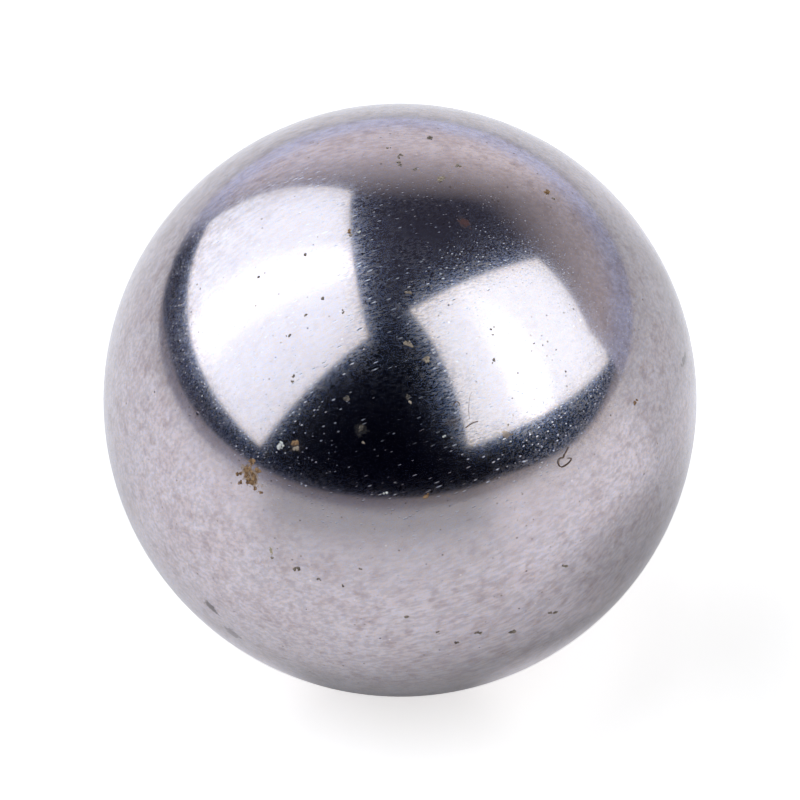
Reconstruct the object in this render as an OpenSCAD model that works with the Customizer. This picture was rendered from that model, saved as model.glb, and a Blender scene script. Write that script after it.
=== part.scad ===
// Steel ball: one solid sphere of hardened bearing steel, ground and polished.
// Lengths are in millimetres. +Z is up, and the origin is the centre of the ball.

/* [Ball] */
// Diameter of the ball
ball_d = 20; // [4:0.5:60]

/* [Preview] */
// Facets drawn round the equator; the solid itself is a true sphere at any value
equator_facets = 128; // [32:8:256]

/* [Hidden] */
ball_r = ball_d / 2;
polished_steel = [0.72, 0.70, 0.73];

// The whole object: a sphere with no hole, flat or seam.
module ball() {
    color(polished_steel)
        sphere(r = ball_r, $fn = equator_facets);
}

ball();
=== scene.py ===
"""A worn, polished steel ball on a pale studio table.

The ball is one piece of mirror-bright steel. The larger pits and nicks of use are real hollows in its
mesh, and the fine ones are in its finish. Rust, grime, dust and lint are small pieces that sit on it.
Lengths are in metres and angles in degrees, unless a name says otherwise. A place on the ball is a
longitude, 0 at the front (-Y) and growing towards +X, and a latitude, 90 at the top (+Z).
"""

import logging
import math
from collections.abc import Iterable
from dataclasses import dataclass
from enum import Enum

import bmesh
import bpy
import numpy as np
from mathutils import Matrix, Vector


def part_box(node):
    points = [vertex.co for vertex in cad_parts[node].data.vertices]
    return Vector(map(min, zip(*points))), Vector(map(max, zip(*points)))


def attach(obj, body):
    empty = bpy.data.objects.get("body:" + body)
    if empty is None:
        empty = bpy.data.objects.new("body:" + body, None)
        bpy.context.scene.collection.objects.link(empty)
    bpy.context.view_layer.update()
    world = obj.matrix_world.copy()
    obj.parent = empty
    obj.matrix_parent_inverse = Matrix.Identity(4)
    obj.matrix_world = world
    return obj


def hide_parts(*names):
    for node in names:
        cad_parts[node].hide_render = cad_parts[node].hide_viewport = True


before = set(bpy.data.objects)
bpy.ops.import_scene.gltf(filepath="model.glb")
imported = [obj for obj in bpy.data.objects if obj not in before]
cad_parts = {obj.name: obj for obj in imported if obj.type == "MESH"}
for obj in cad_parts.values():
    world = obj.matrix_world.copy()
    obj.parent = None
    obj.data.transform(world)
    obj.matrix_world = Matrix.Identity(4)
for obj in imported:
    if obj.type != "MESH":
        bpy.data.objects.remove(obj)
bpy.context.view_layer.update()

LOG = logging.getLogger("steel_ball")
BODY = "root"
NODE = "ball"
MM = 0.001
MICRON = 0.000001
WHITE = (1.0, 1.0, 1.0)
PARALLEL = 1e-6
FIRST_SOIL_SEED = 30

Colour = tuple[float, float, float]
Span = tuple[float, float]
Faces = list[list[int]]
Socket = bpy.types.NodeSocket
Source = object  # an output socket, or a plain number, vector or colour


def unit(vectors: np.ndarray) -> np.ndarray:
    """Scale a vector, or each row of a table of vectors, to a length of 1."""
    return vectors / np.linalg.norm(vectors, axis=-1, keepdims=True)


def direction(longitude: float, latitude: float) -> np.ndarray:
    """Turn a place on the ball, or round it, into a unit vector from the centre."""
    lon, lat = math.radians(longitude), math.radians(latitude)
    return np.array([math.cos(lat) * math.sin(lon), -math.cos(lat) * math.cos(lon), math.sin(lat)])


def tangents(normal: np.ndarray, turn: float = 0.0) -> tuple[np.ndarray, np.ndarray]:
    """Give two axes that lie in the surface at a point.

    Args:
        normal: unit vector out of the surface.
        turn: degrees to turn the axes about the normal.

    Returns:
        The axis that points east at no turn, and the one that points north.
    """
    east = np.cross([0.0, 0.0, 1.0], normal)
    if np.linalg.norm(east) < PARALLEL:
        east = np.array([1.0, 0.0, 0.0])
    east = unit(east)
    angle = math.radians(turn)
    along = math.cos(angle) * east + math.sin(angle) * np.cross(normal, east)
    return along, np.cross(normal, along)


def points_and_faces(shape: bmesh.types.BMesh) -> tuple[np.ndarray, Faces]:
    """Read a mesh and free it.

    Args:
        shape: the mesh.

    Returns:
        Its points as rows, and the vertex numbers of each face.
    """
    points = np.array([vert.co[:] for vert in shape.verts])
    faces = [[vert.index for vert in face.verts] for face in shape.faces]
    shape.free()
    return points, faces


def icosphere(level: int) -> bmesh.types.BMesh:
    """Make a ball of radius 1.

    Args:
        level: how many times its triangles are split.

    Returns:
        The ball as an editable mesh.
    """
    shape = bmesh.new()
    bmesh.ops.create_icosphere(shape, subdivisions=level, radius=1.0)
    return shape


def make_object(name: str, points: np.ndarray, faces: list) -> bpy.types.Object:
    """Make a smooth-shaded mesh object at the origin and link it to the scene.

    Args:
        name: the object's name.
        points: one row of three coordinates for each vertex.
        faces: vertex numbers of each face.

    Returns:
        The new object.
    """
    mesh = bpy.data.meshes.new(name)
    mesh.from_pydata(points.tolist(), [], [list(face) for face in faces])
    mesh.shade_smooth()
    mesh.update()
    piece = bpy.data.objects.new(name, mesh)
    bpy.context.scene.collection.objects.link(piece)
    return piece


def join_parts(name: str, parts: Iterable[tuple[np.ndarray, Faces]]) -> bpy.types.Object:
    """Make one object out of separate bodies.

    Args:
        name: the object's name.
        parts: the points and faces of each body.

    Returns:
        The new object.
    """
    points: list[np.ndarray] = []
    faces: Faces = []
    start = 0
    for part_points, part_faces in parts:
        points.append(part_points)
        faces += [[start + index for index in face] for face in part_faces]
        start += len(part_points)
    return make_object(name, np.vstack(points), faces)


def quads(rings: int, count: int, closed: bool = True, flipped: bool = False, start: int = 0) -> Faces:
    """Join rings or rows of points with four-sided faces.

    Args:
        rings: how many rings or rows there are.
        count: how many points each one has.
        closed: whether its last point is joined to its first.
        flipped: whether the faces look the other way.
        start: the number of the very first point.

    Returns:
        The vertex numbers of each face.
    """
    faces: Faces = []
    for first in range(start, start + (rings - 1) * count, count):
        for s in range(count if closed else count - 1):
            a, b = first + s, first + (s + 1) % count
            faces.append([a, a + count, b + count, b] if flipped else [a, b, b + count, a + count])
    return faces


def stage_piece(name: str, points: list, faces: Faces, material: bpy.types.Material) -> bpy.types.Object:
    """Make a piece of the studio.

    Args:
        name: its name.
        points: three coordinates for each vertex.
        faces: vertex numbers of each face.
        material: its material.

    Returns:
        The piece.
    """
    piece = make_object(name, np.array(points), faces)
    piece.data.materials.append(material)
    return piece


# ---------------------------------------------------------------- shader building


@dataclass(frozen=True)
class Ramp:
    """A clamped ramp: at_low where a value is low, at_high where it is high, and eased at its ends or not."""

    low: Source
    high: Source
    at_low: float = 0.0
    at_high: float = 1.0
    eased: bool = True


@dataclass(frozen=True)
class Clouds:
    """Soft patches: their size in millimetres, their finer layers, and the noise that gives 0 and 1."""

    size: float
    detail: float
    low: Source
    high: Source


@dataclass(frozen=True)
class Spots:
    """Scattered spots, round or drawn out, with a spacing in millimetres.

    The radius is measured in spacings, the share is how many of the places hold a spot, and the edge is
    how much of a spot's radius is solid.
    """

    spacing: float
    radius: float
    share: float
    edge: float


class Tree:
    """Adds nodes to one node tree and links them."""

    def __init__(self, tree: bpy.types.NodeTree) -> None:
        """Keep the tree that nodes are added to."""
        self.tree = tree

    def node(self, kind: str, *sources: Source, **settings: object) -> bpy.types.Node:
        """Add a node.

        Args:
            kind: the node's type name, without the ShaderNode prefix.
            sources: what feeds its first inputs, in order.
            settings: properties to set on the node.

        Returns:
            The new node.
        """
        made = self.tree.nodes.new(kind if kind.startswith("Node") else "ShaderNode" + kind)
        for name, value in settings.items():
            setattr(made, name, value)
        return self.fill(made, dict(enumerate(sources)))

    def fill(self, made: bpy.types.Node, sources: dict[str | int, Source]) -> bpy.types.Node:
        """Feed a node's inputs.

        Args:
            made: the node.
            sources: what feeds each input, by name or by number. A colour of three parts is made opaque.

        Returns:
            The node.
        """
        for label, source in sources.items():
            socket = made.inputs[label]
            if isinstance(source, Socket):
                self.tree.links.new(source, socket)
            elif socket.type == "RGBA":
                socket.default_value = (*source, 1.0)
            else:
                socket.default_value = source.tolist() if isinstance(source, np.ndarray) else source
        return made

    def math(self, operation: str, first: Source, second: Source = 0.0, clamp: bool = False) -> Socket:
        """Add a Math node."""
        return self.node("Math", first, second, operation=operation, use_clamp=clamp).outputs[0]

    def product(self, first: Source, *others: Source) -> Source:
        """Multiply numbers together.

        Args:
            first: the first number.
            others: the others.

        Returns:
            Their product.
        """
        for other in others:
            first = self.math("MULTIPLY", first, other)
        return first

    def hypotenuse(self, first: Socket, second: Socket) -> Socket:
        """Give the square root of the sum of two squares."""
        squares = [self.product(side, side) for side in (first, second)]
        return self.math("SQRT", self.math("ADD", *squares))

    def vector(self, operation: str, first: Source, second: Source) -> Socket:
        """Add a Vector Math node that gives a vector."""
        return self.node("VectorMath", first, second, operation=operation).outputs["Vector"]

    def measure(self, operation: str, first: Source, second: Source = (0.0, 0.0, 0.0)) -> Socket:
        """Add a Vector Math node that gives a number, such as a distance or a dot product."""
        return self.node("VectorMath", first, second, operation=operation).outputs["Value"]

    def split(self, vector: Socket) -> bpy.types.bpy_prop_collection:
        """Split a vector into its three parts."""
        return self.node("SeparateXYZ", vector).outputs

    def remap(self, value: Source, ramp: Ramp) -> Socket:
        """Send a value up or down a ramp."""
        return self.node("MapRange", value, ramp.low, ramp.high, ramp.at_low, ramp.at_high,
                         interpolation_type="SMOOTHSTEP" if ramp.eased else "LINEAR").outputs[0]

    def patch(self, place: Socket, centre: Source, ramp: Ramp) -> Socket:
        """Make a soft round patch, by the distance from its centre."""
        return self.remap(self.measure("DISTANCE", place, centre), ramp)

    def mix(self, factor: Source, first: Source, second: Source, blend: str = "MIX") -> Socket:
        """Mix two colours."""
        made = self.node("Mix", data_type="RGBA", blend_type=blend)
        return self.fill(made, {0: factor, 6: first, 7: second}).outputs[2]

    def multiply(self, first: Source, second: Source) -> Socket:
        """Multiply two colours."""
        return self.mix(1.0, first, second, "MULTIPLY")

    def mix_values(self, factor: Source, first: Source, second: Source) -> Socket:
        """Mix two numbers."""
        return self.fill(self.node("Mix", data_type="FLOAT"), {0: factor, 2: first, 3: second}).outputs[0]

    def noise(self, vector: Socket, scale: Source, detail: Source, rough: float) -> Socket:
        """Add 3-D noise."""
        sources = {"Vector": vector, "Scale": scale, "Detail": detail, "Roughness": rough}
        return self.fill(self.node("TexNoise"), sources).outputs["Fac"]

    def cells(self, vector: Socket, scale: Source) -> bpy.types.bpy_prop_collection:
        """Add 3-D Voronoi cells."""
        made = self.node("TexVoronoi", feature="F1", voronoi_dimensions="3D")
        return self.fill(made, {"Vector": vector, "Scale": scale}).outputs

    def drawn_out(self, vector: Socket, along: Colour, share: float) -> Socket:
        """Squash a position along one direction, so that a pattern read from it is drawn out that way.

        Args:
            vector: the position.
            along: the unit direction.
            share: how much of the position along it is taken away.

        Returns:
            The squashed position's socket.
        """
        step = self.node("VectorMath", [-share * part for part in along], operation="SCALE")
        self.fill(step, {"Scale": self.measure("DOT_PRODUCT", vector, along)})
        return self.vector("ADD", vector, step.outputs["Vector"])

    def use(self, group: bpy.types.NodeTree, **sources: Source) -> bpy.types.bpy_prop_collection:
        """Place a node group, fed by name."""
        return self.fill(self.node("Group", node_tree=group), sources).outputs


class Group(Tree):
    """A shader node group while it is being built."""

    def __init__(self, name: str, **inputs: float | None) -> None:
        """Make the group.

        Args:
            name: the group's name.
            inputs: each input's default value, or None for a vector.
        """
        super().__init__(bpy.data.node_groups.new(name, "ShaderNodeTree"))
        for label, default in inputs.items():
            kind = "NodeSocketVector" if default is None else "NodeSocketFloat"
            socket = self.tree.interface.new_socket(name=label, in_out="INPUT", socket_type=kind)
            if default is not None:
                socket.default_value = default
        self.given = self.node("NodeGroupInput").outputs

    def finished(self, **outputs: Socket) -> bpy.types.NodeTree:
        """Give the group its outputs.

        Args:
            outputs: what feeds each of them.

        Returns:
            The group's node tree.
        """
        for label in outputs:
            self.tree.interface.new_socket(name=label, in_out="OUTPUT", socket_type="NodeSocketFloat")
        self.fill(self.node("NodeGroupOutput"), outputs)
        return self.tree


@dataclass
class Effects:
    """The surface effects that several finishes share, each one a node group.

    A layer of grain is how much finer it is than the grain's own scale, and its number of finer layers.
    """

    spot_sizes: Ramp = Ramp(0.0, 1.0, 0.45, 1.0, eased=False)
    cloud_roughness: float = 0.55
    grain_roughness: float = 0.6
    fine_layer: Span = (2.6, 4.0)
    slow_layer: Span = (0.45, 3.0)
    tone_contrast: Ramp = Ramp(0.40, 0.60, eased=False)
    rag_size: float = 0.14 * MM
    rag_detail: float = 4.0
    rag_depth: Ramp = Ramp(0.25, 0.75, -0.65, 0.65, eased=False)
    stain_edge: Ramp = Ramp(0.55, 1.0, 1.0, 0.0)

    def __post_init__(self) -> None:
        """Build every group once."""
        self.spots = self._spots()
        self.clouds = self._clouds()
        self.grain = self._grain()
        self.stain = self._stain()

    def _spots(self) -> bpy.types.NodeTree:
        """Build scattered pits or specks, round or drawn out.

        Returns:
            A group that gives a mask, a height from 0 down to -1, and a chance of each spot's own.
        """
        tree = Group("spots", Vector=None, Scale=1.0, Radius=0.3, Share=0.5, Edge=0.5)
        cells = tree.cells(tree.given["Vector"], tree.given["Scale"])
        lot = tree.node("SeparateColor", cells["Color"]).outputs
        chosen = tree.math("LESS_THAN", lot[0], tree.given["Share"])
        radius = tree.product(tree.given["Radius"], tree.remap(lot[1], self.spot_sizes))
        solid = tree.product(radius, tree.given["Edge"])
        disc = tree.remap(cells["Distance"], Ramp(solid, radius, 1.0, 0.0))
        bowl = tree.remap(cells["Distance"], Ramp(0.0, radius, -1.0, 0.0))
        return tree.finished(Mask=tree.product(disc, chosen), Height=tree.product(bowl, chosen),
                             Chance=lot[2])

    def _clouds(self) -> bpy.types.NodeTree:
        """Build soft patches.

        Returns:
            A group that gives noise with its contrast set by the low and high ends.
        """
        tree = Group("clouds", Vector=None, Scale=1.0, Detail=3.0, Low=0.4, High=0.6)
        given = tree.given
        value = tree.noise(given["Vector"], given["Scale"], given["Detail"], self.cloud_roughness)
        return tree.finished(Value=tree.remap(value, Ramp(given["Low"], given["High"])))

    def _grain(self) -> bpy.types.NodeTree:
        """Build crumbly grain.

        Returns:
            A group that gives a height made of cells and noise, and a slower tone for colour.
        """
        tree = Group("grain", Vector=None, Scale=1.0, Crumble=0.5)
        vector, scale = tree.given["Vector"], tree.given["Scale"]
        bumps = tree.math("SUBTRACT", 1.0, tree.cells(vector, scale)["Distance"])
        fine, slow = (tree.noise(vector, tree.product(scale, share), detail, self.grain_roughness)
                      for share, detail in (self.fine_layer, self.slow_layer))
        return tree.finished(Height=tree.mix_values(tree.given["Crumble"], fine, bumps),
                             Tone=tree.remap(slow, self.tone_contrast))

    def _stain(self) -> bpy.types.NodeTree:
        """Build one oval stain with a ragged, patchy edge.

        Returns:
            A group that gives its mask, set out by two axes scaled to its half sizes.
        """
        tree = Group("stain", Vector=None, Centre=None, Along=None, Across=None)
        vector = tree.given["Vector"]
        away = tree.vector("SUBTRACT", vector, tree.given["Centre"])
        reach = tree.hypotenuse(*[tree.measure("DOT_PRODUCT", away, tree.given[axis])
                                  for axis in ("Along", "Across")])
        ragged = tree.noise(vector, 1.0 / self.rag_size, self.rag_detail, self.grain_roughness)
        edge = tree.math("ADD", reach, tree.remap(ragged, self.rag_depth))
        return tree.finished(Mask=tree.remap(edge, self.stain_edge))


class Skin(Tree):
    """The tree of a material, with the position on the piece that wears it."""

    def __init__(self, name: str, cleared: bool = False) -> None:
        """Make the material.

        Args:
            name: its name.
            cleared: whether it starts with no Principled shader.
        """
        self.material = bpy.data.materials.new(name)
        self.material.use_nodes = True
        super().__init__(self.material.node_tree)
        if cleared:
            self.tree.nodes.clear()
        self.place = self.node("TexCoord").outputs["Object"]


class Paint(Skin):
    """The material of a piece, made with a Principled shader and the shared effects."""

    def __init__(self, name: str, effects: Effects) -> None:
        """Make the material, and keep the shared node groups."""
        super().__init__(name)
        self.effects = effects

    def clouds(self, kind: Clouds, vector: Socket) -> Socket:
        """Lay soft patches."""
        return self.use(self.effects.clouds, Vector=vector, Scale=1.0 / (kind.size * MM), Detail=kind.detail,
                        Low=kind.low, High=kind.high)["Value"]

    def spots(self, kind: Spots, vector: Socket) -> bpy.types.bpy_prop_collection:
        """Scatter spots, which give a Mask, a Height and a Chance."""
        return self.use(self.effects.spots, Vector=vector, Scale=1.0 / (kind.spacing * MM),
                        Radius=kind.radius, Share=kind.share, Edge=kind.edge)

    def coat(self, bump: tuple[float, float, Socket], **sources: Source) -> bpy.types.Material:
        """Finish the shader.

        Args:
            bump: the bump's strength, its full height, and its height at each place as a share of that.
            sources: what feeds the shader's inputs, by name with _ for a space.

        Returns:
            The material.
        """
        uneven = self.fill(self.node("Bump"), dict(zip(("Strength", "Distance", "Height"), bump)))
        named = {name.replace("_", " "): source for name, source in sources.items()}
        self.fill(self.tree.nodes["Principled BSDF"], {**named, "Normal": uneven.outputs[0]})
        return self.material


class Glow(Skin):
    """The material of a studio surface, which gives light of its own."""

    def __init__(self, name: str) -> None:
        """Make the material."""
        super().__init__(name, cleared=True)

    def light(self, colour: Source, strength: Source) -> Socket:
        """Add a light of its own."""
        return self.node("Emission", colour, strength).outputs[0]

    def lit_by_eye(self, albedo: Colour, glow: Socket, seen: Source, mirrored: Source) -> None:
        """Join a plain diffuse surface with a glow that only the eye, metal and glass see.

        Args:
            albedo: the surface's own colour.
            glow: the colour of the glow.
            seen: how strong the glow is when looked at.
            mirrored: how strong it is in metal and through glass.
        """
        path = self.node("LightPath").outputs
        bounced = self.math("MAXIMUM", path["Is Glossy Ray"], path["Is Transmission Ray"])
        strength = self.math("ADD", self.product(path["Is Camera Ray"], seen),
                             self.product(bounced, mirrored))
        diffuse = self.node("BsdfDiffuse", albedo).outputs[0]
        both = self.node("AddShader", diffuse, self.light(glow, strength)).outputs[0]
        self.node("OutputMaterial", both)


# ---------------------------------------------------------------- finishes


@dataclass(frozen=True)
class Stain:
    """A soft stain in the steel: where it is, its length and width in millimetres, and its colour."""

    longitude: float
    latitude: float
    length: float
    width: float
    turn: float
    colour: Colour
    strength: float
    dullness: float = 0.0


@dataclass(frozen=True)
class Scuff:
    """A scuffed place: how much wider scratches scatter at its middle, and how far it reaches.

    The gain is added to a factor of 1, and below 0 it marks a place rubbed smoother. The reach is a
    share of the ball's radius.
    """

    longitude: float
    latitude: float
    gain: float
    reach: float


@dataclass(frozen=True)
class SteelFinish:
    """Bearing steel, polished and then worn: bright, faintly mauve, with pits, film and smudges.

    Scratches too fine to see scatter a bluish haze round what the ball mirrors. What they scatter is
    missing from the clear part of the reflection, which is left warmer where they crowd together.
    """

    radius: float
    clear_steel: Colour = (0.543, 0.449, 0.414)
    crowded_steel: Colour = (0.640, 0.390, 0.160)
    lone_scratch: Colour = (0.46, 0.54, 0.80)
    crowded_scratch: Colour = (0.505, 0.468, 0.510)
    narrow_scatter: Colour = (1.20, 1.07, 0.80)
    wide_scatter: Colour = (0.80, 0.93, 1.20)
    crowd_power: float = 0.7
    rim: Colour = (0.98, 0.98, 0.98)
    polish: float = 0.085
    satin: Span = (0.148, 0.194)

    wear_along: Colour = (0.94, 0.22, 0.26)
    scratch_draw: float = 0.70
    dash_draw: float = 0.85
    streaks: Clouds = Clouds(0.052, 1.0, 0.42, 0.64)
    fog: Clouds = Clouds(1.3, 3.0, 0.30, 0.70)
    fog_share: Ramp = Ramp(0.0, 1.0, 0.65, 1.30, eased=False)
    hairline_size: float = 0.004
    hairline_start: Ramp = Ramp(0.0, 1.0, 0.585, 0.25, eased=False)
    hairline_edge: float = 0.06
    scatter_kinds: Clouds = Clouds(0.0047, 0.0, 0.47, 0.53)

    crown: Span = (0.0, 50.0)
    crown_wear: Ramp = Ramp(0.60, 0.86, 1.0, 0.20)
    scuff_core: float = 0.2
    scuffs: tuple[Scuff, ...] = (
        Scuff(2.0, 60.0, 0.24, 0.42), Scuff(37.0, 24.0, 0.27, 0.42), Scuff(30.0, 76.0, 0.26, 0.42),
        Scuff(15.5, 38.5, 0.42, 0.24), Scuff(60.0, 62.0, 0.25, 0.26), Scuff(-66.0, 38.0, 0.14, 0.34),
        Scuff(0.0, 24.5, -0.21, 0.37), Scuff(20.0, 22.0, -0.22, 0.20),
    )

    flecks: Clouds = Clouds(0.13, 3.0, 0.40, 0.60)
    deep_fleck: Colour = (0.91, 0.91, 0.91)
    bright_fleck: Colour = (1.09, 1.09, 1.09)
    films: tuple[tuple[Clouds, Colour], ...] = (
        (Clouds(0.9, 4.0, 0.44, 0.60), (0.95, 0.925, 0.915)),
        (Clouds(0.60, 3.0, 0.44, 0.60), (1.05, 1.06, 1.065)),
        (Clouds(0.45, 4.0, 0.50, 0.70), (0.86, 0.845, 0.84)),
    )

    pits: Spots = Spots(0.085, 0.29, 0.80, 0.3)
    nicks: Spots = Spots(0.36, 0.10, 0.35, 0.3)
    pit: Colour = (0.440, 0.430, 0.500)
    bright_pit: Colour = (0.64, 0.70, 0.86)
    pit_strength: float = 0.8
    pit_roughness: Ramp = Ramp(0.0, 1.0, 0.16, 0.43, eased=False)
    pit_depth: float = 3.0 * MICRON
    nick_depths: float = 2.0

    specks: Spots = Spots(0.27, 0.19, 0.50, 0.4)
    motes: Spots = Spots(0.13, 0.22, 0.45, 0.2)
    mote_strength: float = 0.50
    speck: Colour = (0.060, 0.035, 0.030)
    faint_speck: Colour = (0.280, 0.235, 0.225)
    pale_speck: Colour = (0.700, 0.640, 0.650)
    faint_chance: Ramp = Ramp(0.0, 0.4, eased=False)
    pale_chance: float = 0.72

    stains: tuple[Stain, ...] = (
        Stain(-32.4, 22.0, 1.05, 0.70, -45, (0.40, 0.27, 0.17), 0.85, 0.70),
        Stain(11.8, 35.2, 0.60, 0.42, -10, (0.30, 0.22, 0.19), 0.35, 0.15),
        Stain(23.0, 30.5, 0.42, 0.30, -20, (0.45, 0.32, 0.22), 0.70, 0.30),
        Stain(45.5, 70.6, 0.36, 0.60, 0, (0.30, 0.10, 0.08), 0.75, 0.20),
        Stain(79.9, 15.1, 1.05, 0.34, -10, (0.24, 0.21, 0.21), 0.80),
        Stain(-43.2, -15.0, 0.80, 0.42, -45, (0.11, 0.09, 0.09), 0.90),
        Stain(-40.0, -22.0, 0.80, 0.75, -45, (0.23, 0.19, 0.20), 0.85),
        Stain(-26.6, 7.9, 0.46, 0.13, -80, (0.34, 0.29, 0.16), 0.80, 0.35),
        Stain(-23.5, 30.3, 0.55, 0.40, 15, (0.40, 0.26, 0.17), 0.55, 0.20),
        Stain(-9.2, 35.0, 0.55, 0.45, 0, (0.28, 0.25, 0.19), 0.50, 0.06),
    )

    def build(self, effects: Effects) -> bpy.types.Material:
        """Make the material.

        Args:
            effects: the shared node groups.

        Returns:
            The steel material.
        """
        paint = Paint("worn_steel", effects)
        drawn = paint.drawn_out(paint.place, self.wear_along, self.scratch_draw)
        dashed = paint.drawn_out(paint.place, self.wear_along, self.dash_draw)
        crown = direction(*self.crown) / self.radius
        worn = paint.remap(paint.measure("DOT_PRODUCT", paint.place, crown), self.crown_wear)
        crowd, scratched = self._scratched(paint, drawn)
        pits, nicks = paint.spots(self.pits, dashed), paint.spots(self.nicks, drawn)
        pitted = paint.math("MAXIMUM", pits["Mask"], nicks["Mask"])
        clear = paint.mix(paint.math("POWER", crowd, self.crowd_power), self.clear_steel, self.crowded_steel)
        wide = paint.clouds(self.scatter_kinds, drawn)
        scatter = paint.multiply(paint.mix(crowd, self.lone_scratch, self.crowded_scratch),
                                 paint.mix(wide, self.narrow_scatter, self.wide_scatter))
        tint = paint.multiply(paint.mix(scratched, clear, scatter), self._film(paint, drawn, worn))
        pit_tint = paint.mix(worn, self.bright_pit, self.pit)
        tint = paint.mix(paint.product(pitted, self.pit_strength), tint, pit_tint)
        tint, dull = self._stained(paint, self._specked(paint, dashed, tint))
        satin = paint.product(paint.mix_values(wide, *self.satin), self._rubbed(paint))
        base = paint.mix_values(scratched, self.polish, satin)
        roughness = paint.mix_values(pitted, base, paint.remap(pits["Chance"], self.pit_roughness))
        height = paint.math("ADD", pits["Height"], paint.product(nicks["Height"], self.nick_depths))
        return paint.coat((1.0, self.pit_depth, height), Base_Color=tint, Roughness=roughness,
                          Metallic=paint.math("SUBTRACT", 1.0, dull), Specular_Tint=self.rim)

    def _rubbed(self, paint: Paint) -> Source:
        """Add up how much wider the scratches scatter in the scuffed places.

        Args:
            paint: the material's tree.

        Returns:
            A factor, 1 where nothing is scuffed.
        """
        total: Source = 1.0
        for scuff in self.scuffs:
            centre = direction(scuff.longitude, scuff.latitude) * self.radius
            reach = scuff.reach * self.radius
            rise = paint.patch(paint.place, centre, Ramp(self.scuff_core * reach, reach, scuff.gain, 0.0))
            total = paint.math("ADD", total, rise)
        return total

    def _scratched(self, paint: Paint, drawn: Socket) -> tuple[Source, Socket]:
        """Lay hairline scratches, closer together in streaks and in patches.

        Args:
            paint: the material's tree.
            drawn: the position, squashed along the scratches.

        Returns:
            How crowded the scratches are, and where each one lies.
        """
        fog = paint.remap(paint.clouds(self.fog, paint.place), self.fog_share)
        crowd = paint.product(paint.clouds(self.streaks, drawn), fog)
        low = paint.remap(crowd, self.hairline_start)
        high = paint.math("ADD", low, self.hairline_edge)
        return crowd, paint.clouds(Clouds(self.hairline_size, 0.0, low, high), drawn)

    def _film(self, paint: Paint, drawn: Socket, worn: Socket) -> Socket:
        """Shade the steel with flecks, and with fine patches of film and smudges.

        Args:
            paint: the material's tree.
            drawn: the position, squashed along the scratches.
            worn: how dull the steel is, less on the crown, which fingers and cloths reach first.

        Returns:
            A colour to multiply the steel's own by, near 1 on average.
        """
        tone = paint.mix_values(worn, 0.5, paint.clouds(self.flecks, drawn))
        total = paint.mix(tone, self.deep_fleck, self.bright_fleck)
        for kind, colour in self.films:
            share = paint.product(paint.clouds(kind, paint.place), worn)
            total = paint.multiply(total, paint.mix(share, WHITE, colour))
        return total

    def _specked(self, paint: Paint, dashed: Socket, tint: Socket) -> Socket:
        """Scatter specks over the colour: dark, faint and pale ones, and smaller faint motes.

        Args:
            paint: the material's tree.
            dashed: the position, squashed most along the scratches.
            tint: the colour so far.

        Returns:
            The colour with the specks.
        """
        specks = paint.spots(self.specks, paint.place)
        pale = paint.math("GREATER_THAN", specks["Chance"], self.pale_chance)
        soil = paint.mix(paint.remap(specks["Chance"], self.faint_chance), self.speck, self.faint_speck)
        soil = paint.mix(pale, soil, self.pale_speck)
        motes = paint.product(paint.spots(self.motes, dashed)["Mask"], self.mote_strength)
        return paint.mix(specks["Mask"], paint.mix(motes, tint, self.faint_speck), soil)

    def _stained(self, paint: Paint, tint: Socket) -> tuple[Socket, Source]:
        """Lay the stains over the colour.

        Args:
            paint: the material's tree.
            tint: the colour so far.

        Returns:
            The colour with the stains, and how much they dull the metal.
        """
        dull: Source = 0.0
        for stain in self.stains:
            centre = direction(stain.longitude, stain.latitude)
            along, across = tangents(centre, stain.turn)
            mask = paint.use(paint.effects.stain, Vector=paint.place, Centre=centre * self.radius,
                             Along=along / (stain.length * MM / 2.0),
                             Across=across / (stain.width * MM / 2.0))["Mask"]
            tint = paint.mix(paint.product(mask, stain.strength), tint, stain.colour)
            if stain.dullness:
                dull = paint.math("ADD", dull, paint.product(mask, stain.dullness))
        return tint, dull


@dataclass(frozen=True)
class SoilFinish:
    """A dull, crumbly finish for what clings to the steel, mottled between a dark and a light tone."""

    name: str
    dark: Colour
    light: Colour
    roughness: float
    grain_size: float
    crumble: float = 0.5
    shine: float = 0.3
    tone_share: float = 0.75
    bump: float = 0.8
    bump_height: float = 0.12

    def build(self, effects: Effects) -> bpy.types.Material:
        """Make the material.

        Args:
            effects: the shared node groups.

        Returns:
            The soil material.
        """
        paint = Paint(self.name, effects)
        grain = paint.use(effects.grain, Vector=paint.place, Scale=1.0 / self.grain_size,
                          Crumble=self.crumble)
        tone = paint.math("ADD", paint.product(grain["Tone"], self.tone_share),
                          paint.product(grain["Height"], 1.0 - self.tone_share))
        return paint.coat((self.bump, self.bump_height * self.grain_size, grain["Height"]),
                          Base_Color=paint.mix(tone, self.dark, self.light), Roughness=self.roughness,
                          Specular_IOR_Level=self.shine)


# ---------------------------------------------------------------- the ball


@dataclass(frozen=True)
class Hollow:
    """A pit or nick in the ball: an oval dimple pressed into the surface."""

    centre: np.ndarray
    along: np.ndarray
    across: np.ndarray
    half_length: float
    half_width: float
    depth: float

    def depth_at(self, points: np.ndarray, radius: float) -> np.ndarray:
        """Give how far the surface lies below the true sphere.

        Args:
            points: unit vectors to places on the ball.
            radius: the ball's radius.

        Returns:
            The depth at each place.
        """
        x = points @ self.along * radius / self.half_length
        y = points @ self.across * radius / self.half_width
        bowl = np.clip(1.0 - x * x - y * y, 0.0, 1.0) ** 2
        return self.depth * np.where(points @ self.centre > 0.0, bowl, 0.0)


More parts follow.
